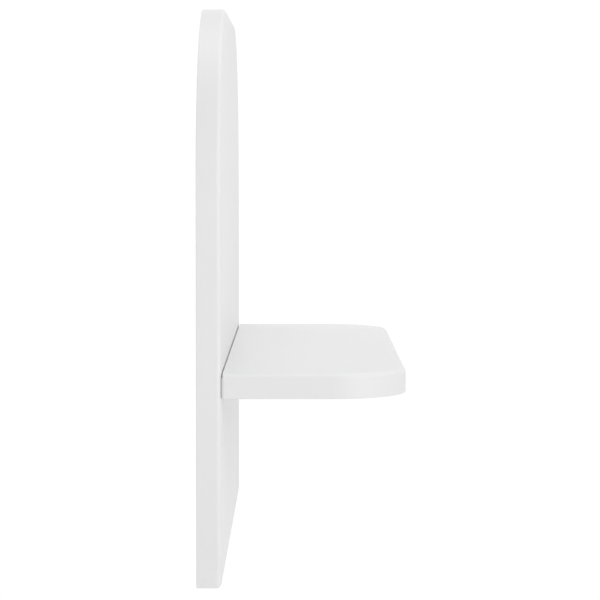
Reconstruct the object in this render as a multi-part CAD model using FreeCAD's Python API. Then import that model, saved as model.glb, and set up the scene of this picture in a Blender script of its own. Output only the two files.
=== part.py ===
import FreeCAD, Part
import math
import os

# Floating wall shelf: an upright back panel that hangs flat on the wall and one shelf board that
# stands out from it. Millimetres, +Z up, X along the width, the front towards -Y.
# The origin is the centre of the back panel's rear face, which lies on the wall.

# --- the two boards -------------------------------------------------------------------------
WIDTH = 390.0
HEIGHT = 350.0
BOARD = 15.0  # thickness of both boards
SHELF_REACH = 111.5  # how far the shelf board stands out from the front of the panel
SHELF_UNDERSIDE = 113.0  # height of the shelf board's underside above the panel's foot
PANEL_CORNER_R = 110.0  # the two round top corners of the panel
SHELF_CORNER_R = 46.0  # the two round front corners of the shelf board
ROUND_OVER = 3.0  # rounded edges round the panel's front and the shelf board's top
ARRIS = 0.5  # the edges that are only broken with sandpaper
JOINT_CORNER_R = 2.0  # the shelf board's two upright rear corners, against the panel
JOINT_GAP = 0.7  # open line along the top of the joint between the boards
JOINT_GAP_DEPTH = 3.0

# --- the joint between the boards: three screws from the rear and two dowels ---------------------
ASSEMBLY_SCREW_X = {"left": -150.0, "middle": 0.0, "right": 150.0}
ASSEMBLY_SCREW = {
    "sink": 0.3,  # the head's flat ends this far under the surface
    "length": 50.0,
    "head_r": 4.75,
    "shank_r": 2.5,
    "shank_length": 16.0,
    "core_r": 1.7,
    "pitch": 2.6,
    "recess_span": 5.4,
    "recess_width": 1.3,
    "recess_depth": 2.6,
}

DOWEL_X = {"left": -75.0, "right": 75.0}
DOWEL_R = 4.0
DOWEL_LENGTH = 30.0
DOWEL_IN_PANEL = 10.0
DOWEL_CHAMFER = 0.8
DOWEL_GROOVES = 12
DOWEL_GROOVE_R = 0.35
DOWEL_END_ROOM = 0.5  # the holes are a little deeper than the dowel, for the glue

# --- the two keyhole hangers -------------------------------------------------------------------
HANGER_X = {"left": -120.0, "right": 120.0}
HANGER_HEIGHT = 302.0  # centre of the plates above the panel's foot
PLATE_LENGTH = 44.0
PLATE_WIDTH = 16.0
PLATE_THICKNESS = 2.0
ENTRY_R = 4.5  # round entry for the head of the wall screw
ENTRY_DROP = 4.5  # entry centre below the plate's centre
SLOT_R = 2.3  # slot for the neck of the wall screw
SLOT_RISE = 5.0  # centre of the slot's top end above the plate's centre
POCKET_R = 5.5  # room behind the plate for the screw head
POCKET_DEPTH = 9.0  # from the rear face
PLATE_GAP = 0.15  # between the plate and the sides of its rebate

HANGER_SCREW_Z = {"upper": 16.5, "lower": -16.5}  # from the plate's centre
HANGER_SCREW = {
    "sink": 0.1,
    "length": 12.0,
    "head_r": 2.9,
    "shank_r": 1.5,
    "shank_length": 2.5,
    "core_r": 1.05,
    "pitch": 1.35,
    "recess_span": 3.4,
    "recess_width": 0.8,
    "recess_depth": 1.4,
}

THREAD_FLANK = 0.3  # share of the pitch that each side of a thread ring takes
POINT_LENGTH = 2.0  # length of a screw's point, as a share of its core radius
POINT_TAPER = 0.35  # radius at a screw's point, as a share of its core radius
RECESS_TAPER = 0.6  # radius at the bottom of a cross recess, as a share of its bars' width
HOLE_GAP = 0.05  # radial room round screws and dowels

# --- heights and depths that follow from the sizes above ------------------------------------------
FOOT_Z = -HEIGHT / 2
TOP_Z = HEIGHT / 2
PANEL_FRONT_Y = -BOARD
SHELF_FRONT_Y = PANEL_FRONT_Y - SHELF_REACH
SHELF_LOW_Z = FOOT_Z + SHELF_UNDERSIDE
SHELF_MID_Z = SHELF_LOW_Z + BOARD / 2
HANGER_Z = FOOT_Z + HANGER_HEIGHT

Y_AXIS = FreeCAD.Vector(0, 1, 0)
SMALL = 1e-4  # how near to a face a point counts as lying on it


def rounded_outline(place, half_width, square_end, round_end, radius):
    """A face whose square end has two sharp corners and whose other end has two round ones.

    place(x, v) puts the outline's point at x across and v along in space.
    """
    turn = math.copysign(radius, square_end - round_end)
    shoulder = round_end + turn
    inner = half_width - radius
    diagonal = radius * math.sqrt(0.5)
    bend = shoulder - math.copysign(diagonal, turn)
    right = Part.Arc(
        place(half_width, shoulder), place(inner + diagonal, bend), place(inner, round_end)
    )
    left = Part.Arc(
        place(-inner, round_end), place(-inner - diagonal, bend), place(-half_width, shoulder)
    )
    edges = [
        Part.makeLine(place(-half_width, square_end), place(half_width, square_end)),
        Part.makeLine(place(half_width, square_end), place(half_width, shoulder)),
        right.toShape(),
        Part.makeLine(place(inner, round_end), place(-inner, round_end)),
        left.toShape(),
        Part.makeLine(place(-half_width, shoulder), place(-half_width, square_end)),
    ]
    return Part.Face(Part.Wire(edges))


def edges_where(shape, test):
    """The edges whose every vertex and middle passes the test."""
    found = []
    for edge in shape.Edges:
        middle = edge.valueAt((edge.FirstParameter + edge.LastParameter) / 2)
        points = [vertex.Point for vertex in edge.Vertexes] + [middle]
        if all(test(point) for point in points):
            found.append(edge)
    return found


def rod(radius, rear_y, front_y, x, z):
    """A round rod along Y between two depths, for holes."""
    return Part.makeCylinder(radius, rear_y - front_y, FreeCAD.Vector(x, rear_y, z), -Y_AXIS)


def stadium(radius, low_z, high_z, rear_y, front_y, x):
    """An upright slot with round ends, whose end centres are at low_z and high_z."""
    depth = rear_y - front_y
    straight = Part.makeBox(
        2 * radius, depth, high_z - low_z, FreeCAD.Vector(x - radius, front_y, low_z)
    )
    ends = [rod(radius, rear_y, front_y, x, z) for z in (low_z, high_z)]
    return straight.fuse(ends).removeSplitter()


def screw_hole(screw, x, z):
    """The hole for a screw driven in from the rear: a 90 degree countersink, then a plain hole."""
    front_y = -screw["sink"] - screw["length"] - HOLE_GAP
    wide = screw["head_r"] + screw["sink"]
    countersink = Part.makeCone(
        wide, screw["shank_r"], wide - screw["shank_r"], FreeCAD.Vector(x, 0, z), -Y_AXIS
    )
    return countersink.fuse(rod(screw["shank_r"] + HOLE_GAP, 0, front_y, x, z))


def countersunk_screw(screw, x, z):
    """A countersunk screw with a cross recess. Its thread is drawn as closed rings."""
    shank_r, core_r, pitch = screw["shank_r"], screw["core_r"], screw["pitch"]
    length = screw["length"]
    cone_end = screw["head_r"] - shank_r
    thread_start = screw["shank_length"]
    point_start = length - POINT_LENGTH * core_r
    rings = int((point_start - thread_start) / pitch)
    flank = THREAD_FLANK * pitch

    # radius against depth, from the flat of the head to the point
    profile = [(0.0, 0.0), (screw["head_r"], 0.0), (shank_r, cone_end), (shank_r, thread_start)]
    for ring in range(rings):
        start = thread_start + ring * pitch
        profile += [(core_r, start + flank), (core_r, start + pitch - flank)]
        profile += [(shank_r, start + pitch)]
    profile += [(core_r, thread_start + rings * pitch + flank)]
    profile += [(core_r * POINT_TAPER, length), (0.0, length), (0.0, 0.0)]

    wire = Part.makePolygon([FreeCAD.Vector(r, -depth, 0) for r, depth in profile])
    body = Part.Face(wire).revolve(FreeCAD.Vector(0, 0, 0), Y_AXIS, 360)

    # the cross recess: two crossed bars, tapered by a cone
    span, width, depth = screw["recess_span"], screw["recess_width"], screw["recess_depth"]
    bars = [
        Part.makeBox(span, depth, width, FreeCAD.Vector(-span / 2, -depth, -width / 2)),
        Part.makeBox(width, depth, span, FreeCAD.Vector(-width / 2, -depth, -span / 2)),
    ]
    bottom = RECESS_TAPER * width
    taper = Part.makeCone(span / 2, bottom, depth, FreeCAD.Vector(0, 0, 0), -Y_AXIS)
    recess = bars[0].fuse(bars[1]).common(taper)
    made = body.cut(recess)
    made.translate(FreeCAD.Vector(x, -screw["sink"], z))
    return made


def dowel(x):
    """A grooved wooden dowel across the joint, with chamfered ends."""
    rear_y = PANEL_FRONT_Y + DOWEL_IN_PANEL
    made = rod(DOWEL_R, rear_y, rear_y - DOWEL_LENGTH, x, SHELF_MID_Z)
    made = made.makeChamfer(DOWEL_CHAMFER, [e for e in made.Edges if e.Closed])
    grooves = []
    for step in range(DOWEL_GROOVES):
        angle = 2 * math.pi * (step + 0.5) / DOWEL_GROOVES
        groove_x = x + DOWEL_R * math.cos(angle)
        groove_z = SHELF_MID_Z + DOWEL_R * math.sin(angle)
        grooves.append(
            rod(DOWEL_GROOVE_R, rear_y, rear_y - DOWEL_LENGTH, groove_x, groove_z)
        )
    return made.cut(grooves)


def dowel_hole(x):
    rear_y = PANEL_FRONT_Y + DOWEL_IN_PANEL + DOWEL_END_ROOM
    front_y = rear_y - DOWEL_LENGTH - 2 * DOWEL_END_ROOM
    return rod(DOWEL_R + HOLE_GAP, rear_y, front_y, x, SHELF_MID_Z)


def joint_holes():
    """The holes across the joint between the two boards, for the screws and the dowels."""
    screws = [screw_hole(ASSEMBLY_SCREW, x, SHELF_MID_Z) for x in ASSEMBLY_SCREW_X.values()]
    return screws + [dowel_hole(x) for x in DOWEL_X.values()]


def hanger_screw_holes(x):
    return [screw_hole(HANGER_SCREW, x, HANGER_Z + offset) for offset in HANGER_SCREW_Z.values()]


def plate_blank(x, gap):
    """A plain plate with round ends at the rear face, grown all round by a gap."""
    reach = (PLATE_LENGTH - PLATE_WIDTH) / 2
    low, high = HANGER_Z - reach, HANGER_Z + reach
    return stadium(PLATE_WIDTH / 2 + gap, low, high, 0, -PLATE_THICKNESS, x)


def hanger_bed(x):
    """What is cut from the panel for one hanger: the plate's bed, the pocket and the pilot holes."""
    low, high = HANGER_Z - ENTRY_DROP, HANGER_Z + SLOT_RISE
    pocket = stadium(POCKET_R, low, high, 0, -POCKET_DEPTH, x)
    return plate_blank(x, PLATE_GAP).fuse([pocket] + hanger_screw_holes(x))


def hanger_plate(x):
    """A flat steel plate with round ends, two countersunk holes and a keyhole.

    The keyhole is a round entry with a narrow slot above it.
    """
    low, high = HANGER_Z - ENTRY_DROP, HANGER_Z + SLOT_RISE
    entry = rod(ENTRY_R, 0, -PLATE_THICKNESS, x, low)
    slot = stadium(SLOT_R, low, high, 0, -PLATE_THICKNESS, x)
    return plate_blank(x, 0).cut([entry, slot] + hanger_screw_holes(x))


def back_panel():
    outline = rounded_outline(
        lambda x, z: FreeCAD.Vector(x, 0, z), WIDTH / 2, FOOT_Z, TOP_Z, PANEL_CORNER_R
    )
    panel = outline.extrude(FreeCAD.Vector(0, -BOARD, 0))
    front = edges_where(panel, lambda p: abs(p.y - PANEL_FRONT_Y) < SMALL)
    panel = panel.makeFillet(ROUND_OVER, front)

    def at_foot_corner(point):
        return abs(abs(point.x) - WIDTH / 2) < SMALL and abs(point.z - FOOT_Z) < SMALL

    rear = edges_where(panel, lambda p: abs(p.y) < SMALL)
    panel = panel.makeFillet(ARRIS, rear + edges_where(panel, at_foot_corner))
    return panel.cut([hanger_bed(x) for x in HANGER_X.values()] + joint_holes())


def rear_corner(side):
    """What rounds off one upright rear corner of the shelf board, on the left (-1) or right (1)."""
    x = side * WIDTH / 2
    centre = FreeCAD.Vector(x - side * JOINT_CORNER_R, PANEL_FRONT_Y - JOINT_CORNER_R, SHELF_LOW_Z)
    square = Part.makeBox(
        JOINT_CORNER_R, JOINT_CORNER_R, BOARD, FreeCAD.Vector(min(x, centre.x), centre.y, centre.z)
    )
    return square.cut(Part.makeCylinder(JOINT_CORNER_R, BOARD, centre))


def shelf_board():
    outline = rounded_outline(
        lambda x, y: FreeCAD.Vector(x, y, SHELF_LOW_Z),
        WIDTH / 2,
        PANEL_FRONT_Y,
        SHELF_FRONT_Y,
        SHELF_CORNER_R,
    )
    shelf = outline.extrude(FreeCAD.Vector(0, 0, BOARD))
    top_z = SHELF_LOW_Z + BOARD
    rear = edges_where(shelf, lambda p: abs(p.y - PANEL_FRONT_Y) < SMALL)
    top = edges_where(shelf, lambda p: abs(p.z - top_z) < SMALL)
    top = [edge for edge in top if not any(edge.isSame(other) for other in rear)]
    shelf = shelf.makeFillet(ROUND_OVER, top)
    shelf = shelf.cut([rear_corner(side) for side in (-1, 1)])
    low = edges_where(shelf, lambda p: abs(p.z - SHELF_LOW_Z) < SMALL)
    shelf = shelf.makeFillet(ARRIS, low)
    gap = Part.makeBox(
        WIDTH,
        JOINT_GAP,
        JOINT_GAP_DEPTH,
        FreeCAD.Vector(-WIDTH / 2, PANEL_FRONT_Y - JOINT_GAP, top_z - JOINT_GAP_DEPTH),
    )
    return shelf.cut([gap] + joint_holes())


def all_parts():
    parts = {"back_panel": back_panel(), "shelf_board": shelf_board()}
    for side, x in ASSEMBLY_SCREW_X.items():
        parts["assembly_screw_" + side] = countersunk_screw(ASSEMBLY_SCREW, x, SHELF_MID_Z)
    for side, x in DOWEL_X.items():
        parts["dowel_" + side] = dowel(x)
    for side, x in HANGER_X.items():
        parts["hanger_plate_" + side] = hanger_plate(x)
        for level, offset in HANGER_SCREW_Z.items():
            screw = countersunk_screw(HANGER_SCREW, x, HANGER_Z + offset)
            parts[f"hanger_screw_{side}_{level}"] = screw
    return parts


os.makedirs("parts", exist_ok=True)
for name, shape in all_parts().items():
    if len(shape.Solids) != 1 or not shape.isValid():
        raise ValueError(f"{name} isn't one valid solid")
    shape.Solids[0].exportStep(f"parts/{name}.step")
    print(name, round(shape.Volume, 1), "mm3")
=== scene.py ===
import math

import bmesh
import bpy
from mathutils import Matrix, Vector


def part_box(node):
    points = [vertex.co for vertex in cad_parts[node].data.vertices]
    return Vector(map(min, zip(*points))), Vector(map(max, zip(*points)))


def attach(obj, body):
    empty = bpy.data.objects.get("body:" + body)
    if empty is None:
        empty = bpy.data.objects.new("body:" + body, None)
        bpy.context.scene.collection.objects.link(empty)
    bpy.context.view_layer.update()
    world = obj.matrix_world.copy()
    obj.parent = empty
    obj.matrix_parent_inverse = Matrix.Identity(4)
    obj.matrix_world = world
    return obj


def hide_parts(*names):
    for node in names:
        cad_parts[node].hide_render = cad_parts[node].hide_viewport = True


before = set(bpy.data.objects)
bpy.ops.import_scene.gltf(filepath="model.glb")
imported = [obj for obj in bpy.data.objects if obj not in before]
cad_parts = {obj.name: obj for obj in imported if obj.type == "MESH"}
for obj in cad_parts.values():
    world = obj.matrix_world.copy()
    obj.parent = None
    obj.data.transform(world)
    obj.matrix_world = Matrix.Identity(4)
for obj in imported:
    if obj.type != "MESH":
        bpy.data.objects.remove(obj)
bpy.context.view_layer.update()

# Floating wall shelf: the finished boards, the fittings let into them, the studio and the camera.
# Metres, +Z up, X along the width, the wall at Y 0 and the front towards -Y.

MM = 0.001
TOLERANCE = 0.004 * MM  # how far a facet may lie inside the curve that it follows
WELD = 0.0005 * MM  # points closer together than this become one
FULL_TURN = 2 * math.pi
QUARTER_TURN = math.pi / 2

# --- the boards -----------------------------------------------------------------------------------
PANEL_CORNER_R = 110 * MM
SHELF_CORNER_R = 46 * MM
ROUND_OVER = 3 * MM
ARRIS = 0.5 * MM

# --- the joint between them -----------------------------------------------------------------------
JOINT_CORNER_R = 2 * MM  # the shelf board's upright rear corners
JOINT_GAP = 0.7 * MM  # the open line along the top of the joint
JOINT_GAP_DEPTH = 3 * MM
ASSEMBLY_SCREW = {
    "Head Radius": 4.75 * MM,
    "Shank Radius": 2.5 * MM,
    "Core Radius": 1.7 * MM,
    "Length": 50 * MM,
    "Thread Start": 16 * MM,
    "Pitch": 2.6 * MM,
    "Point Length": 3.4 * MM,
    "Recess Span": 5.4 * MM,
    "Recess Width": 1.3 * MM,
    "Recess Depth": 2.6 * MM,
}
DOWEL_HOLE_R = 4.05 * MM
DOWEL_END_ROOM = 0.5 * MM  # how far a dowel's hole goes on past each of its ends
HOLE_GAP = 0.05 * MM  # round a screw's shank and past its point

# --- the keyhole hangers --------------------------------------------------------------------------
HANGER_SCREW = {
    "Head Radius": 2.9 * MM,
    "Shank Radius": 1.5 * MM,
    "Core Radius": 1.05 * MM,
    "Length": 12 * MM,
    "Thread Start": 2.5 * MM,
    "Pitch": 1.35 * MM,
    "Point Length": 2.1 * MM,
    "Recess Span": 3.4 * MM,
    "Recess Width": 0.8 * MM,
    "Recess Depth": 1.4 * MM,
}
PLATE_ARRIS = 0.2 * MM
PLATE_GAP = 0.15 * MM  # round a plate in its bed
ENTRY_R = 4.5 * MM
ENTRY_DROP = 4.5 * MM  # from the plate's middle down to the centre of the round entry
SLOT_R = 2.3 * MM
SLOT_RISE = 5 * MM  # from the plate's middle up to the centre of the slot's round end
POCKET_R = 5.5 * MM
POCKET_DEPTH = 9 * MM  # from the rear face

# --- how finely the shapes are made ---------------------------------------------------------------
SCREW_FACETS = 64
SCREW_HEAD_ROWS = 3  # the rows of a screw before its thread: centre, rim and neck
THREAD_ROWS = 3  # the rows of each turn: the crest and both sides of the root
THREAD_FLANK = 0.3  # each flank of the thread, as a share of the pitch
SCREW_TIP = 0.35  # radius at a screw's point, as a share of the radius before it
RECESS_TAPER = 0.6  # radius at the bottom of a cross recess, as a share of its bars' width
HOLE_FACETS = 96
MARGIN = 0.5 * MM  # how far a cutter stands out of what it cuts
SHARP_ANGLE = math.radians(32)

# --- colours --------------------------------------------------------------------------------------
LACQUER = (0.84, 0.84, 0.84)
FIBRE_DARK = (0.33, 0.22, 0.13)
FIBRE_PALE = (0.55, 0.41, 0.27)
ZINC = (0.70, 0.71, 0.72)
ZINC_DULL = (0.48, 0.49, 0.51)
BEECH = (0.72, 0.54, 0.36)
BEECH_DARK = (0.62, 0.44, 0.28)
BEECH_FLECK = (0.40, 0.25, 0.14)
LACQUER_THIN = 0.985  # how bright the lacquer is at its thinnest, as a share of its colour
FLECK_STRENGTH = 0.5  # the share of the fleck's colour in the beech

# --- the finishes ---------------------------------------------------------------------------------
NOISE_SPAN = (0.3, 0.7)  # the noise values at which a blend or a range begins and ends
FLECK_SPAN = (0.66, 0.74)  # and those at which a fleck sets in and is full

# patterns: marks per metre and layers of detail, and for the fibres how strong the fine layers are
LACQUER_CLOUDS = (14, 3)
ORANGE_PEEL = (420, 2)
LACQUER_GRAIN = (2600, 3)
FIBRES = (900, 6, 0.65)
TUFTS = (160, 4)
BLOTCHES = (320, 4)
SCRATCHES = (3800, 2)
ROD_GRAIN = (1400, 4)
ROD_FLECKS = (2600, 1)
FLOOR_SPECKLE = (40, 3)

# scales of a pattern along X, Y and Z: its marks run long where the number is small
FIBRE_SCALES = (1, 3, 1)
SCRATCH_SCALES = (1, 1, 0.05)
ROD_GRAIN_SCALES = (1, 0.04, 1)
ROD_FLECK_SCALES = (1, 0.12, 1)

# how high the patterns stand in relief
PEEL_RELIEF = 0.006 * MM
GRAIN_RELIEF = 0.0015 * MM
TUFT_RELIEF = 0.12 * MM
FIBRE_RELIEF = 0.05 * MM
BLOTCH_RELIEF = 0.01 * MM
SCRATCH_RELIEF = 0.004 * MM
ROD_RELIEF = 0.03 * MM

# roughness at the low and the high end of a pattern, or what a finer pattern adds to it
LACQUER_SHEEN = (0.36, 0.42)
GRAIN_SHEEN = (-0.02, 0.02)
RAW_SHEEN = (0.8, 0.95)
ZINC_SHEEN = (0.42, 0.28)
SCRATCH_SHEEN = (-0.04, 0.04)
ROD_SHEEN = (0.55, 0.7)

# --- the studio -----------------------------------------------------------------------------------
BACKDROP_WHITE = 1.02  # a touch over white, so that no grain shows in it
DOME_LIGHT = 0.585
SOFTBOXES = [  # name, place, side and watts
    ("softbox_above", (0.2, -0.3, 2.0), 1.6, 10.6),
    ("softbox_front", (-1.6, -1.6, 0.5), 1.6, 12.8),
    ("softbox_side", (-0.9, -0.05, 0.1), 0.6, 0.65),
    ("softbox_rear", (1.5, 1.7, 0.7), 2.2, 13.0),
]
FLOOR_REACH = 30  # from its middle to each side
FLOOR_PALE = (0.92, 0.92, 0.92)
FLOOR_DARK = (0.90, 0.90, 0.90)
FLOOR_ROUGHNESS = 0.9
FLOOR_SPECULAR = 0.2
FLOOR_LIFT = 0.30  # light of its own, which brings it close to the backdrop's white
FLOOR_FADE = (0.95, 1.95)  # distances over which it fades into the white backdrop
FLOOR_DROP = 0.45  # the floor is this far under the panel's foot, as under a bedside shelf
CAMERA_PLACE = Vector((-1.5243, -0.0617, 0.0850))
CAMERA_TILT = math.radians(2.262)  # downwards, looking along the width
CAMERA_LENS = 135
CAMERA_SHIFT_Y = -0.10


# --- small tools for node trees -------------------------------------------------------------------


class Value:
    """An output of a node tree that plain arithmetic can be written with."""

    def __init__(self, tree, socket):
        self.tree, self.socket = tree, socket

    def apply(self, operation, *others):
        kind = "ShaderNodeVectorMath" if self.socket.type == "VECTOR" else "ShaderNodeMath"
        made = node(self.tree, kind, operation=operation)
        for slot, value in zip(made.inputs, (self, *others)):
            feed(self.tree, slot, value)
        return Value(self.tree, made.outputs[0])

    def __add__(self, other):
        return self.apply("ADD", other)

    def __sub__(self, other):
        return self.apply("SUBTRACT", other)

    def __mul__(self, other):
        return self.apply("MULTIPLY", other)

    def __truediv__(self, other):
        return self.apply("DIVIDE", other)

    def at_least(self, other):
        return self.apply("MAXIMUM", other)

    def at_most(self, other):
        return self.apply("MINIMUM", other)

    def above(self, other):
        return self.apply("GREATER_THAN", other)

    def past(self, count):
        """1 where this whole number is higher than another one."""
        return self.above(count + 0.5)


def feed(tree, slot, value):
    """Links a value to a node's input, or writes a plain number there."""
    if isinstance(value, Value):
        tree.links.new(value.socket, slot)
    elif isinstance(value, bpy.types.NodeSocket):
        tree.links.new(value, slot)
    else:
        slot.default_value = value


def node(tree, kind, inputs=(), **settings):
    """A new node with its settings, and with its inputs given by name or by number."""
    made = tree.nodes.new(kind)
    for name, value in settings.items():
        setattr(made, name, value)
    for name, value in dict(inputs).items():
        feed(tree, made.inputs[name], value)
    return made


def out(tree, kind, inputs=(), output=0, **settings):
    """A new node's output as a value."""
    return Value(tree, node(tree, kind, inputs, **settings).outputs[output])


def choose(tree, test, when_true, when_false):
    """One of two numbers, point by point."""
    inputs = {"Switch": test, "True": when_true, "False": when_false}
    return out(tree, "GeometryNodeSwitch", inputs, input_type="FLOAT")


# --- shapes made by geometry nodes ----------------------------------------------------------------


def shape_tree(name, inputs):
    """A geometry tree with one named input per size, and its inputs as values."""
    tree = bpy.data.node_groups.new(name, "GeometryNodeTree")
    for label in inputs:
        tree.interface.new_socket(label, in_out="INPUT", socket_type="NodeSocketFloat")
    tree.interface.new_socket("Material", in_out="INPUT", socket_type="NodeSocketMaterial")
    tree.interface.new_socket("Geometry", in_out="OUTPUT", socket_type="NodeSocketGeometry")
    given = node(tree, "NodeGroupInput")
    return tree, {socket.name: Value(tree, socket) for socket in given.outputs if socket.name}


def end_tree(tree, geometry, material):
    """Welds what the tree made, makes it real and gives it its material."""
    welded = out(tree, "GeometryNodeMergeByDistance", {"Geometry": geometry, "Distance": WELD})
    real = out(tree, "GeometryNodeRealizeInstances", {"Geometry": welded})
    painted = out(tree, "GeometryNodeSetMaterial", {"Geometry": real, "Material": material})
    node(tree, "NodeGroupOutput", {"Geometry": painted})
    return tree


def capture(tree, geometry, kind, field):
    """Keeps a field's value on each point of a geometry: the geometry and the kept value."""
    keeper = node(tree, "GeometryNodeCaptureAttribute", {"Geometry": geometry})
    keeper.capture_items.new(kind, "kept")
    feed(tree, keeper.inputs[1], field)
    return Value(tree, keeper.outputs[0]), Value(tree, keeper.outputs[1])


def joined(tree, *parts):
    made = node(tree, "GeometryNodeJoinGeometry")
    for part in reversed(parts):
        tree.links.new(part.socket, made.inputs[0])
    return Value(tree, made.outputs[0])


def combined(tree, operation, first, second):
    """Two closed meshes made one by a boolean."""
    made = node(tree, "GeometryNodeMeshBoolean", operation=operation, solver="EXACT")
    if operation == "DIFFERENCE":
        feed(tree, made.inputs["Mesh 1"], first)
    else:
        tree.links.new(first.socket, made.inputs["Mesh 2"])
    tree.links.new(second.socket, made.inputs["Mesh 2"])
    return Value(tree, made.outputs["Mesh"])


def steps_round(radius, tolerance):
    """How many facets a quarter turn needs to stay within the tolerance.

    A facet that spans an angle lies radius * angle ** 2 / 8 inside its arc.
    """
    facets = (radius / tolerance * (QUARTER_TURN**2 / 8)).apply("SQRT")
    return facets.apply("CEIL").at_least(2)


BOARD_SIZES = ["Width", "Length", "Thickness", "Round Corner", "Square Corner"]
BOARD_SIZES += ["Face Edge", "Back Edge", "Face Edge At Square End", "Back Edge At Square End"]
BOARD_SIZES += ["Tolerance"]


def rounded_board_tree():
    """A board with a round end at +Y and a square end at -Y, its back at Z 0 and its face above.

    Each long edge is a quarter round whose radius is given for the face, for the back, and for
    both of them again along the square end. Every point of the outline belongs to one of the
    four corners, so an inset outline is worked out from that corner alone.
    """
    tree, size = shape_tree("rounded_board", BOARD_SIZES)
    thickness, tolerance = size["Thickness"], size["Tolerance"]
    face_edge, back_edge = size["Face Edge"], size["Back Edge"]
    end_face_edge, end_back_edge = size["Face Edge At Square End"], size["Back Edge At Square End"]

    # the outline, each of whose points remembers its corner and the corner's radius
    sides = {"Width": size["Width"], "Height": size["Length"]}
    outline = out(tree, "GeometryNodeCurvePrimitiveQuadrilateral", sides)
    place = out(tree, "GeometryNodeInputPosition")
    outline, corner = capture(tree, outline, "VECTOR", place)
    split = node(tree, "ShaderNodeSeparateXYZ", {"Vector": corner})
    at_round_end = Value(tree, split.outputs["Y"]).above(0)
    radius = choose(tree, at_round_end, size["Round Corner"], size["Square Corner"])
    outline, radius = capture(tree, outline, "FLOAT", radius)
    facets = steps_round(radius, tolerance)
    rounding = {"Curve": outline, "Count": facets, "Radius": radius}
    outline = out(tree, "GeometryNodeFilletCurve", rounding, mode="POLY")
    side = corner.apply("SIGN")
    same = {axis: radius for axis in "XYZ"}
    radii = out(tree, "ShaderNodeCombineXYZ", same)
    outwards = (place - (corner - side * radii)).apply("NORMALIZE")
    outline, outwards = capture(tree, outline, "VECTOR", outwards)

    def inset_point(inset_x, inset_y, height):
        inset = out(tree, "ShaderNodeCombineXYZ", {"X": inset_x, "Y": inset_y})
        arc = outwards * (radii - inset).at_least((0, 0, 0))
        flat = corner - side * radii.at_least(inset) + arc
        return flat + out(tree, "ShaderNodeCombineXYZ", {"Z": height})

    # the edge profile: heights from the face down to the back, close together on the rounds,
    # each of which has one row more than it has facets
    face_reach, back_reach = face_edge.at_least(end_face_edge), back_edge.at_least(end_back_edge)
    face_steps, back_steps = steps_round(face_reach, tolerance), steps_round(back_reach, tolerance)
    line = node(tree, "GeometryNodeCurvePrimitiveLine").outputs[0]
    rows = {"Curve": line, "Count": face_steps + back_steps + 2}
    profile = out(tree, "GeometryNodeResampleCurve", rows)
    row = out(tree, "GeometryNodeInputIndex")
    face_turn = row / face_steps * QUARTER_TURN
    back_turn = (row - face_steps - 1) / back_steps * QUARTER_TURN
    face_height = thickness - face_reach + face_reach * face_turn.apply("COSINE")
    back_height = back_reach - back_reach * back_turn.apply("SINE")
    height = choose(tree, row.past(face_steps), back_height, face_height)
    profile, height = capture(tree, profile, "FLOAT", height)

    def edge_inset(face_radius, back_radius):
        """How far the quarter rounds of the face and the back draw the edge in at this height."""

        def drawn_in(way_round, edge_radius):
            way_round = way_round.at_least(0).at_most(edge_radius)
            across = (edge_radius * edge_radius - way_round * way_round).apply("SQRT")
            return edge_radius - across

        on_face = drawn_in(height - thickness + face_radius, face_radius)
        return on_face + drawn_in(back_radius - height, back_radius)

    swept = {"Curve": outline, "Profile Curve": profile}
    band = out(tree, "GeometryNodeCurveToMesh", swept)
    along_side = edge_inset(face_edge, back_edge)
    along_square_end = edge_inset(end_face_edge, end_back_edge)
    along_end = choose(tree, at_round_end, along_side, along_square_end)
    on_band = {"Geometry": band, "Position": inset_point(along_side, along_end, height)}
    band = out(tree, "GeometryNodeSetPosition", on_band)

    def cap(edge, edge_at_square_end, height):
        end_inset = choose(tree, at_round_end, edge, edge_at_square_end)
        ring = {"Geometry": outline, "Position": inset_point(edge, end_inset, 0.0)}
        ring = out(tree, "GeometryNodeSetPosition", ring)
        flat = out(tree, "GeometryNodeFillCurve", {"Curve": ring}, mode="NGONS")
        lift = out(tree, "ShaderNodeCombineXYZ", {"Z": height})
        return out(tree, "GeometryNodeSetPosition", {"Geometry": flat, "Offset": lift})

    face = cap(face_edge, end_face_edge, thickness)
    back = cap(back_edge, end_back_edge, 0.0)
    back = out(tree, "GeometryNodeFlipFaces", {"Mesh": back})
    return end_tree(tree, joined(tree, band, face, back), size["Material"])


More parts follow.
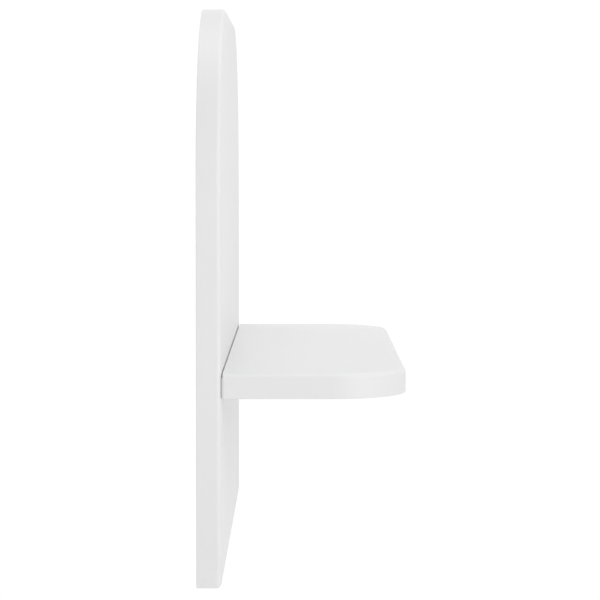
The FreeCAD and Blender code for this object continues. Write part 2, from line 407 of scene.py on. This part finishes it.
def screw_tree():
    """A countersunk wood screw along -Z, with a real helical thread and a cross recess in its head.

    It is one sheet, rolled round the axis. Three of its rows climb together once round the screw
    for each turn of the thread: the crest, the near side of the root and its far side. Past the
    point they all stay on the root's last ring, which closes the sheet.
    """
    tree, size = shape_tree("countersunk_screw", ASSEMBLY_SCREW)
    length, start, pitch = size["Length"], size["Thread Start"], size["Pitch"]
    shank, core = size["Shank Radius"], size["Core Radius"]

    turns = ((length - start) / pitch).apply("CEIL") + 1
    last_row = turns * THREAD_ROWS + SCREW_HEAD_ROWS
    sheet = {"Size X": FULL_TURN, "Size Y": last_row, "Vertices X": SCREW_FACETS + 1}
    sheet = out(tree, "GeometryNodeMeshGrid", {**sheet, "Vertices Y": last_row + 1})
    place = out(tree, "GeometryNodeInputPosition")
    split = node(tree, "ShaderNodeSeparateXYZ", {"Vector": place})
    angle = Value(tree, split.outputs["X"]) + math.pi
    row = (Value(tree, split.outputs["Y"]) + last_row / 2).apply("ROUND")

    thread_row = row - SCREW_HEAD_ROWS
    within = thread_row.apply("FLOORED_MODULO", THREAD_ROWS)
    climbed = (thread_row / THREAD_ROWS).apply("FLOOR") + within.past(0) * THREAD_FLANK
    climbed = climbed + within.past(1) * (1 - 2 * THREAD_FLANK)
    climb = start + pitch * (climbed + angle / FULL_TURN - 1)
    depth = climb.at_least(start).at_most(length)
    at_root = (within.past(0) * climb.above(start)).at_least(climb.above(length))
    radius = choose(tree, at_root, core, shank)
    taper = ((length - depth) / size["Point Length"]).at_most(1) * (1 - SCREW_TIP) + SCREW_TIP
    radius = radius * taper

    in_thread, at_neck = row.past(SCREW_HEAD_ROWS - 1), row.past(1)
    neck_depth = choose(tree, at_neck, size["Head Radius"] - shank, 0.0)
    depth = choose(tree, in_thread, depth, neck_depth)
    head_radius = choose(tree, row.past(0), size["Head Radius"], 0.0)
    radius = choose(tree, in_thread, radius, choose(tree, at_neck, shank, head_radius))
    radius = choose(tree, row.past(last_row - 1), 0.0, radius)
    rolled = {"X": radius * angle.apply("COSINE"), "Y": radius * angle.apply("SINE")}
    rolled = out(tree, "ShaderNodeCombineXYZ", {**rolled, "Z": depth * -1})
    body = out(tree, "GeometryNodeSetPosition", {"Geometry": sheet, "Position": rolled})
    body = out(tree, "GeometryNodeMergeByDistance", {"Geometry": body, "Distance": WELD})

    # the recess: two crossed bars, tapered by a cone, that start a little above the head
    span, width, deep = size["Recess Span"], size["Recess Width"], size["Recess Depth"]
    tall = deep + MARGIN
    bars = []
    for across, along in ((span, width), (width, span)):
        block = out(tree, "ShaderNodeCombineXYZ", {"X": across, "Y": along, "Z": tall})
        bars.append(out(tree, "GeometryNodeMeshCube", {"Size": block}))
    bottom = width * RECESS_TAPER
    top = bottom + (span / 2 - bottom) * tall / deep
    cone = {"Vertices": SCREW_FACETS, "Radius Top": top, "Radius Bottom": bottom, "Depth": tall}
    cone = out(tree, "GeometryNodeMeshCone", cone)
    middle = out(tree, "ShaderNodeCombineXYZ", {"Z": tall / -2})
    cone = out(tree, "GeometryNodeTransform", {"Geometry": cone, "Translation": middle})
    cross = combined(tree, "INTERSECT", combined(tree, "UNION", *bars), cone)
    sunk = out(tree, "ShaderNodeCombineXYZ", {"Z": tall / 2 - deep})
    cross = out(tree, "GeometryNodeTransform", {"Geometry": cross, "Translation": sunk})
    return end_tree(tree, combined(tree, "DIFFERENCE", body, cross), size["Material"])


def new_object(name, data):
    made = bpy.data.objects.new(name, data)
    bpy.context.scene.collection.objects.link(made)
    return made


def shape_from(tree, name, material, sizes):
    """What a tree makes of these sizes, as an object with a plain mesh and no modifier."""
    made = new_object(name, bpy.data.meshes.new(name))
    modifier = made.modifiers.new("shape", "NODES")
    modifier.node_group = tree
    for item in tree.interface.items_tree:
        if item.in_out == "INPUT":
            modifier[item.identifier] = material if item.name == "Material" else sizes[item.name]
    return plain(made)


def plain(made):
    """Makes an object's evaluated mesh its own and drops its modifiers and empty slots."""
    graph = bpy.context.evaluated_depsgraph_get()
    mesh = bpy.data.meshes.new_from_object(made.evaluated_get(graph), depsgraph=graph)
    old, name = made.data, made.name
    while mesh.materials and not mesh.materials[0]:
        mesh.materials.pop(index=0)
    made.modifiers.clear()
    made.data = mesh
    bpy.data.meshes.remove(old)
    mesh.name = name
    return made


def put(made, way, at):
    """Turns a mesh so that its own axes point along the three given ones, and moves it there."""
    turn = Matrix(way).transposed().to_4x4()
    made.data.transform(Matrix.Translation(at) @ turn)
    return made


# where the own X, Y and Z axes of a made shape point
UPRIGHT_FACING_FRONT = ((1, 0, 0), (0, 0, 1), (0, -1, 0))
UPRIGHT_FACING_REAR = ((-1, 0, 0), (0, 0, 1), (0, 1, 0))
LYING_ROUND_END_FRONT = ((-1, 0, 0), (0, -1, 0), (0, 0, 1))
DRIVEN_FROM_REAR = ((1, 0, 0), (0, 0, -1), (0, 1, 0))


def middle_of(name):
    """The middle of the box of a node of the frame."""
    low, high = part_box(name)
    return (low + high) / 2


def nodes_called(start):
    return [name for name in sorted(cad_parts) if name.startswith(start)]


def cutter_from(shape, name, material):
    """A closed bmesh as an object of one material."""
    mesh = bpy.data.meshes.new(name)
    shape.to_mesh(mesh)
    shape.free()
    mesh.materials.append(material)
    return new_object(name, mesh)


def drill(profile, at, material):
    """A turned cutter for a hole from the rear: radii against depth, about a line along Y."""
    shape = bmesh.new()
    rings = []
    for radius, depth in profile:
        ring = []
        for step in range(HOLE_FACETS):
            angle = FULL_TURN * step / HOLE_FACETS
            across, up = radius * math.cos(angle), radius * math.sin(angle)
            ring.append(shape.verts.new((at[0] + across, -depth, at[1] + up)))
        rings.append(ring)
    for near, far in zip(rings, rings[1:]):
        for step in range(HOLE_FACETS):
            after = (step + 1) % HOLE_FACETS
            shape.faces.new((near[step], near[after], far[after], far[step]))
    shape.faces.new(rings[0])
    shape.faces.new(rings[-1])
    bmesh.ops.recalc_face_normals(shape, faces=shape.faces)
    return cutter_from(shape, "hole", material)


def screw_hole(name, screw, material):
    """A 90 degree countersink and a plain hole for the screw of this node."""
    place, sink = middle_of(name), -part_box(name)[1].y
    wide, narrow = screw["Head Radius"] + sink, screw["Shank Radius"] + HOLE_GAP
    end = sink + screw["Length"] + HOLE_GAP
    profile = [(wide + MARGIN, -MARGIN), (narrow, wide - narrow), (narrow, end)]
    return drill(profile, (place.x, place.z), material)


def board(name, material, size, corners, edges, edges_at_square_end):
    """A board of a width, length and thickness.

    The corners' radii are those at the round end and at the square end. Each pair of edges' radii
    is that of the face and of the back.
    """
    values = (*size, *corners, *edges, *edges_at_square_end, TOLERANCE)
    return shape_from(BOARD, name, material, dict(zip(BOARD_SIZES, values)))


def stadium_cutter(name, radius, low_z, high_z, depth, x, material):
    """An upright slot with round ends, from just behind the rear face to a depth."""
    size = (2 * radius, high_z - low_z + 2 * radius, depth + MARGIN)
    sharp = (0.0, 0.0)
    made = board(name, material, size, (radius, radius), sharp, sharp)
    return put(made, UPRIGHT_FACING_REAR, (x, -depth, (low_z + high_z) / 2))


def block(name, low, high, material):
    """A plain cutter between two corners."""
    shape = bmesh.new()
    bmesh.ops.create_cube(shape, size=2)
    for point in shape.verts:
        point.co = [near if side < 0 else far for near, far, side in zip(low, high, point.co)]
    return cutter_from(shape, name, material)


def slice_up(made, planes):
    """Adds edges where planes cross a mesh, so that a corner's shading ends there."""
    shape = bmesh.new()
    shape.from_mesh(made.data)
    for place, across in planes:
        parts = [*shape.verts, *shape.edges, *shape.faces]
        bmesh.ops.bisect_plane(shape, geom=parts, dist=WELD, plane_co=place, plane_no=across)
    shape.to_mesh(made.data)
    shape.free()


def cut(made, cutters):
    """Takes the cutters' space out of a piece; the new faces get the cutters' material."""
    for cutter in cutters:
        modifier = made.modifiers.new(cutter.name, "BOOLEAN")
        modifier.solver = "EXACT"
        modifier.material_mode = "TRANSFER"
        modifier.object = cutter
    plain(made)
    for cutter in cutters:
        mesh = cutter.data
        bpy.data.objects.remove(cutter)
        bpy.data.meshes.remove(mesh)


def mend(mesh):
    """Welds a cut mesh, drops its slivers and loose edges, and closes the pinholes left in it."""
    shape = bmesh.new()
    shape.from_mesh(mesh)
    bmesh.ops.remove_doubles(shape, verts=shape.verts, dist=WELD)
    bmesh.ops.dissolve_degenerate(shape, edges=shape.edges, dist=WELD)
    loose = [edge for edge in shape.edges if not edge.link_faces]
    bmesh.ops.delete(shape, geom=loose, context="EDGES")
    rims = [edge for edge in shape.edges if edge.is_boundary]
    for face in bmesh.ops.holes_fill(shape, edges=rims)["faces"]:
        around = [near for edge in face.edges for near in edge.link_faces if near != face]
        face.material_index = around[0].material_index
    bmesh.ops.recalc_face_normals(shape, faces=shape.faces)
    shape.to_mesh(mesh)
    shape.free()


def finish_piece(made, cad_node):
    """Shades a piece smooth except at its sharp edges, and lets it stand for its CAD node."""
    mend(made.data)
    made.data.shade_smooth()
    made.data.set_sharp_from_angle(angle=SHARP_ANGLE)
    modifier = made.modifiers.new("even_shading", "WEIGHTED_NORMAL")
    modifier.keep_sharp = True
    plain(made)
    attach(made, "root")
    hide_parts(cad_node)


# --- materials ------------------------------------------------------------------------------------


def new_material(name, settings=()):
    """A material, its tree, its shader with these settings, and the piece's own coordinates."""
    made = bpy.data.materials.new(name)
    made.use_nodes = True
    tree = made.node_tree
    shader = tree.nodes["Principled BSDF"]
    for label, value in dict(settings).items():
        shader.inputs[label].default_value = value
    return made, tree, shader, out(tree, "ShaderNodeTexCoord", output="Object")


def noise(tree, place, scale, detail, roughness=0.5):
    inputs = {"Vector": place, "Scale": scale, "Detail": detail, "Roughness": roughness}
    return out(tree, "ShaderNodeTexNoise", inputs, output="Fac")


def spread(tree, value, low, high, source=NOISE_SPAN):
    """A noise value spread over a range, cut off at its ends."""
    inputs = {"Value": value, "From Min": source[0], "From Max": source[1]}
    return out(tree, "ShaderNodeMapRange", {**inputs, "To Min": low, "To Max": high})


def blend(tree, value, low, high):
    """A colour between two, by a noise value."""
    made = node(tree, "ShaderNodeValToRGB", {"Fac": value})
    for stop, position, colour in zip(made.color_ramp.elements, NOISE_SPAN, (low, high)):
        stop.position = position
        stop.color = (*colour, 1)
    return Value(tree, made.outputs["Color"])


def scaled(tree, place, scales):
    """Coordinates in which a pattern's marks are longer one way than the other."""
    return out(tree, "ShaderNodeMapping", {"Vector": place, "Scale": scales})


def bumps(tree, shader, *layers):
    """Relief in layers, each a height from 0 to 1 and how many metres that stands for."""
    normal = None
    for height, relief in layers:
        inputs = {"Height": height, "Distance": relief}
        if normal:
            inputs["Normal"] = normal
        normal = out(tree, "ShaderNodeBump", inputs)
    feed(tree, shader.inputs["Normal"], normal)


def white_lacquer():
    """Satin white lacquer, sprayed on: faint orange peel over a fine grain, and soft clouds."""
    made, tree, shader, place = new_material("sprayed_lacquer")
    clouds = noise(tree, place, *LACQUER_CLOUDS)
    peel = noise(tree, place, *ORANGE_PEEL)
    grain = noise(tree, place, *LACQUER_GRAIN)
    thin = tuple(channel * LACQUER_THIN for channel in LACQUER)
    feed(tree, shader.inputs["Base Color"], blend(tree, clouds, thin, LACQUER))
    sheen = spread(tree, clouds, *LACQUER_SHEEN) + spread(tree, grain, *GRAIN_SHEEN)
    feed(tree, shader.inputs["Roughness"], sheen)
    bumps(tree, shader, (peel, PEEL_RELIEF), (grain, GRAIN_RELIEF))
    return made


def raw_board():
    """Bare fibreboard where it is routed or drilled: fine brown fibres with a soft nap."""
    made, tree, shader, place = new_material("raw_fibreboard")
    fibres = noise(tree, scaled(tree, place, FIBRE_SCALES), *FIBRES)
    tufts = noise(tree, place, *TUFTS)
    feed(tree, shader.inputs["Base Color"], blend(tree, fibres, FIBRE_DARK, FIBRE_PALE))
    feed(tree, shader.inputs["Roughness"], spread(tree, tufts, *RAW_SHEEN))
    bumps(tree, shader, (tufts, TUFT_RELIEF), (fibres, FIBRE_RELIEF))
    return made


def zinc_steel():
    """Zinc-plated steel: a bright metal dulled in soft blotches, with fine rubbed scratches."""
    made, tree, shader, place = new_material("zinc_plating", {"Metallic": 1.0})
    blotches = noise(tree, place, *BLOTCHES)
    rubbed = noise(tree, scaled(tree, place, SCRATCH_SCALES), *SCRATCHES)
    feed(tree, shader.inputs["Base Color"], blend(tree, blotches, ZINC_DULL, ZINC))
    sheen = spread(tree, blotches, *ZINC_SHEEN) + spread(tree, rubbed, *SCRATCH_SHEEN)
    feed(tree, shader.inputs["Roughness"], sheen)
    bumps(tree, shader, (blotches, BLOTCH_RELIEF), (rubbed, SCRATCH_RELIEF))
    return made


def beech():
    """Beech dowel rod: pale straight grain along the dowel with short brown flecks."""
    made, tree, shader, place = new_material("beech_rod")
    grain = noise(tree, scaled(tree, place, ROD_GRAIN_SCALES), *ROD_GRAIN)
    flecks = noise(tree, scaled(tree, place, ROD_FLECK_SCALES), *ROD_FLECKS)
    pale = blend(tree, grain, BEECH_DARK, BEECH)
    fleck = spread(tree, flecks, 0.0, FLECK_STRENGTH, FLECK_SPAN)
    # a mix node has its two colours in its inputs 6 and 7, and their mix in its output 2
    inputs = {0: fleck, 6: pale, 7: (*BEECH_FLECK, 1)}
    mixed = out(tree, "ShaderNodeMix", inputs, output=2, data_type="RGBA")
    feed(tree, shader.inputs["Base Color"], mixed)
    feed(tree, shader.inputs["Roughness"], spread(tree, grain, *ROD_SHEEN))
    bumps(tree, shader, (grain, ROD_RELIEF))
    return made


# --- the pieces -----------------------------------------------------------------------------------

BOARD = rounded_board_tree()
SCREW = screw_tree()
LACQUERED, RAW, ZINC_PLATED, WOOD = white_lacquer(), raw_board(), zinc_steel(), beech()


def joint_cutters():
    """The holes across the joint between the boards: for three screws and two dowels."""
    screws = nodes_called("assembly_screw")
    cutters = [screw_hole(name, ASSEMBLY_SCREW, RAW) for name in screws]
    for name in nodes_called("dowel"):
        place = middle_of(name)
        low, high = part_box(name)
        ends = (-high.y - DOWEL_END_ROOM, -low.y + DOWEL_END_ROOM)
        profile = [(DOWEL_HOLE_R, depth) for depth in ends]
        cutters.append(drill(profile, (place.x, place.z), RAW))
    return cutters


def plate_screw_holes(plate, material):
    """The holes for the screws that hold a hanger plate."""
    screws = nodes_called(plate.replace("plate", "screw"))
    return [screw_hole(name, HANGER_SCREW, material) for name in screws]


def hanger_cutters(plate):
    """The bed of one hanger plate, the pocket behind its keyhole and its screws' pilot holes."""
    low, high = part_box(plate)
    place, half_width = middle_of(plate), (high.x - low.x) / 2
    ends, bed = (low.z + half_width, high.z - half_width), half_width + PLATE_GAP
    cutters = [stadium_cutter("bed", bed, *ends, high.y - low.y, place.x, RAW)]
    ends = (place.z - ENTRY_DROP, place.z + SLOT_RISE)
    cutters.append(stadium_cutter("pocket", POCKET_R, *ends, POCKET_DEPTH, place.x, RAW))
    return cutters + plate_screw_holes(plate, RAW)


def make_panel():
    low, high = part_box("back_panel")
    size = (high.x - low.x, high.z - low.z, high.y - low.y)
    corners, edges = (PANEL_CORNER_R, ARRIS), (ROUND_OVER, ARRIS)
    made = board("back_panel_finished", LACQUERED, size, corners, edges, edges)
    put(made, UPRIGHT_FACING_FRONT, (0, high.y, (low.z + high.z) / 2))
    inset = Vector((ROUND_OVER + MARGIN, 0, ROUND_OVER + MARGIN))
    across, up = (1, 0, 0), (0, 0, 1)
    slice_up(made, [(low + inset, across), (high - inset, across), (low + inset, up)])
    cutters = joint_cutters()
    for plate in nodes_called("hanger_plate"):
        cutters += hanger_cutters(plate)
    cut(made, cutters)
    finish_piece(made, "back_panel")


def make_shelf():
    low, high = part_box("shelf_board")
    size = (high.x - low.x, high.y - low.y, high.z - low.z)
    corners, edges = (SHELF_CORNER_R, JOINT_CORNER_R), (ROUND_OVER, ARRIS)
    made = board("shelf_board_finished", LACQUERED, size, corners, edges, (0.0, ARRIS))
    put(made, LYING_ROUND_END_FRONT, (0, (low.y + high.y) / 2, low.z))
    inner = (low.x - MARGIN, high.y - JOINT_GAP, high.z - JOINT_GAP_DEPTH)
    outer = (high.x + MARGIN, high.y + MARGIN, high.z + MARGIN)
    cut(made, [block("gap", inner, outer, LACQUERED), *joint_cutters()])
    finish_piece(made, "shelf_board")


def make_plate(name):
    """A stamped keyhole plate with two countersunk holes."""
    low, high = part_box(name)
    place, half_width = middle_of(name), (high.x - low.x) / 2
    size = (high.x - low.x, high.z - low.z, high.y - low.y)
    corners, edges = (half_width, half_width), (PLATE_ARRIS, PLATE_ARRIS)
    made = board(name + "_finished", ZINC_PLATED, size, corners, edges, edges)
    put(made, UPRIGHT_FACING_REAR, (place.x, low.y, place.z))
    through = high.y - low.y + MARGIN
    entry_z, slot_z = place.z - ENTRY_DROP, place.z + SLOT_RISE
    entry = [(ENTRY_R, -MARGIN), (ENTRY_R, through)]
    slot = (SLOT_R, entry_z, slot_z, through, place.x, ZINC_PLATED)
    keyhole = [drill(entry, (place.x, entry_z), ZINC_PLATED), stadium_cutter("slot", *slot)]
    cut(made, keyhole + plate_screw_holes(name, ZINC_PLATED))
    finish_piece(made, name)


def make_screw(name, sizes):
    place, head_y = middle_of(name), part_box(name)[1].y
    made = shape_from(SCREW, name + "_finished", ZINC_PLATED, sizes)
    put(made, DRIVEN_FROM_REAR, (place.x, head_y, place.z))
    finish_piece(made, name)


def paint_dowel(name):
    """A dowel keeps the mesh of its node."""
    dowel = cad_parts[name]
    dowel.data.materials.clear()
    dowel.data.materials.append(WOOD)


make_panel()
make_shelf()
for name in nodes_called("hanger_plate"):
    make_plate(name)
for name in nodes_called("hanger_screw"):
    make_screw(name, HANGER_SCREW)
for name in nodes_called("assembly_screw"):
    make_screw(name, ASSEMBLY_SCREW)
for name in nodes_called("dowel"):
    paint_dowel(name)


# --- backdrop, floor, lights and camera -----------------------------------------------------------


def seen_directly(tree):
    """1 for what the camera sees, also by reflection or through glass, and 0 for lighting."""
    path = node(tree, "ShaderNodeLightPath")
    seen = Value(tree, path.outputs["Is Camera Ray"])
    for ray in ("Is Glossy Ray", "Is Transmission Ray"):
        seen = seen.at_least(path.outputs[ray])
    return seen


def mixed_shaders(tree, share, first, second):
    """The first shader where the share is 0 and the second where it is 1."""
    inputs = {0: share, 1: first.outputs[0], 2: second.outputs[0]}
    return node(tree, "ShaderNodeMixShader", inputs)


def make_world():
    """White to look at, and an even soft light from all round."""
    world = bpy.data.worlds.new("studio")
    world.use_nodes = True
    bpy.context.scene.world = world
    tree = world.node_tree
    tree.nodes.clear()
    even = {"Color": (1, 1, 1, 1)}
    light = node(tree, "ShaderNodeBackground", {**even, "Strength": DOME_LIGHT})
    white = node(tree, "ShaderNodeBackground", {**even, "Strength": BACKDROP_WHITE})
    mixed = mixed_shaders(tree, seen_directly(tree), light, white)
    node(tree, "ShaderNodeOutputWorld", {"Surface": mixed.outputs[0]})


def make_floor():
    """A wide pale matt floor that fades into the backdrop's white, and is clear from below."""
    mesh = bpy.data.meshes.new("floor")
    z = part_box("back_panel")[0].z - FLOOR_DROP
    corners = [(-1, -1), (1, -1), (1, 1), (-1, 1)]
    mesh.from_pydata([(x * FLOOR_REACH, y * FLOOR_REACH, z) for x, y in corners], [], [range(4)])
    floor = new_object("floor", mesh)
    settings = {"Roughness": FLOOR_ROUGHNESS, "Specular IOR Level": FLOOR_SPECULAR}
    material, tree, shader, place = new_material("floor", settings)
    speckle = noise(tree, place, *FLOOR_SPECKLE)
    feed(tree, shader.inputs["Base Color"], blend(tree, speckle, FLOOR_DARK, FLOOR_PALE))
    lift = node(tree, "ShaderNodeEmission", {"Strength": FLOOR_LIFT})
    lifted = node(tree, "ShaderNodeAddShader", {0: shader.outputs[0], 1: lift.outputs[0]})
    white = node(tree, "ShaderNodeEmission", {"Strength": BACKDROP_WHITE})
    away = out(tree, "ShaderNodeVectorMath", {0: place}, output="Value", operation="LENGTH")
    far = spread(tree, away, 0.0, 1.0, FLOOR_FADE)
    faded = mixed_shaders(tree, far, lifted, white)
    above = mixed_shaders(tree, seen_directly(tree), shader, faded)
    clear = node(tree, "ShaderNodeBsdfTransparent")
    from_below = out(tree, "ShaderNodeNewGeometry", output="Backfacing")
    surface = mixed_shaders(tree, from_below, above, clear)
    feed(tree, tree.nodes["Material Output"].inputs["Surface"], surface.outputs[0])
    mesh.materials.append(material)


def make_softbox(name, place, side, watts):
    """A square soft light that faces the middle of the shelf."""
    lamp = bpy.data.lights.new(name, "AREA")
    lamp.shape, lamp.size, lamp.energy = "SQUARE", side, watts
    made = new_object(name, lamp)
    made.location = place
    made.visible_camera = False
    made.rotation_euler = Vector(place).to_track_quat("Z", "Y").to_euler()


def make_camera():
    lens = bpy.data.cameras.new("camera")
    lens.lens, lens.shift_y = CAMERA_LENS, CAMERA_SHIFT_Y
    camera = new_object("camera", lens)
    camera.location = CAMERA_PLACE
    camera.rotation_euler = (QUARTER_TURN - CAMERA_TILT, 0, -QUARTER_TURN)
    bpy.context.scene.camera = camera


make_world()
make_floor()
for softbox in SOFTBOXES:
    make_softbox(*softbox)
make_camera()
bpy.context.scene.view_settings.view_transform = "Standard"
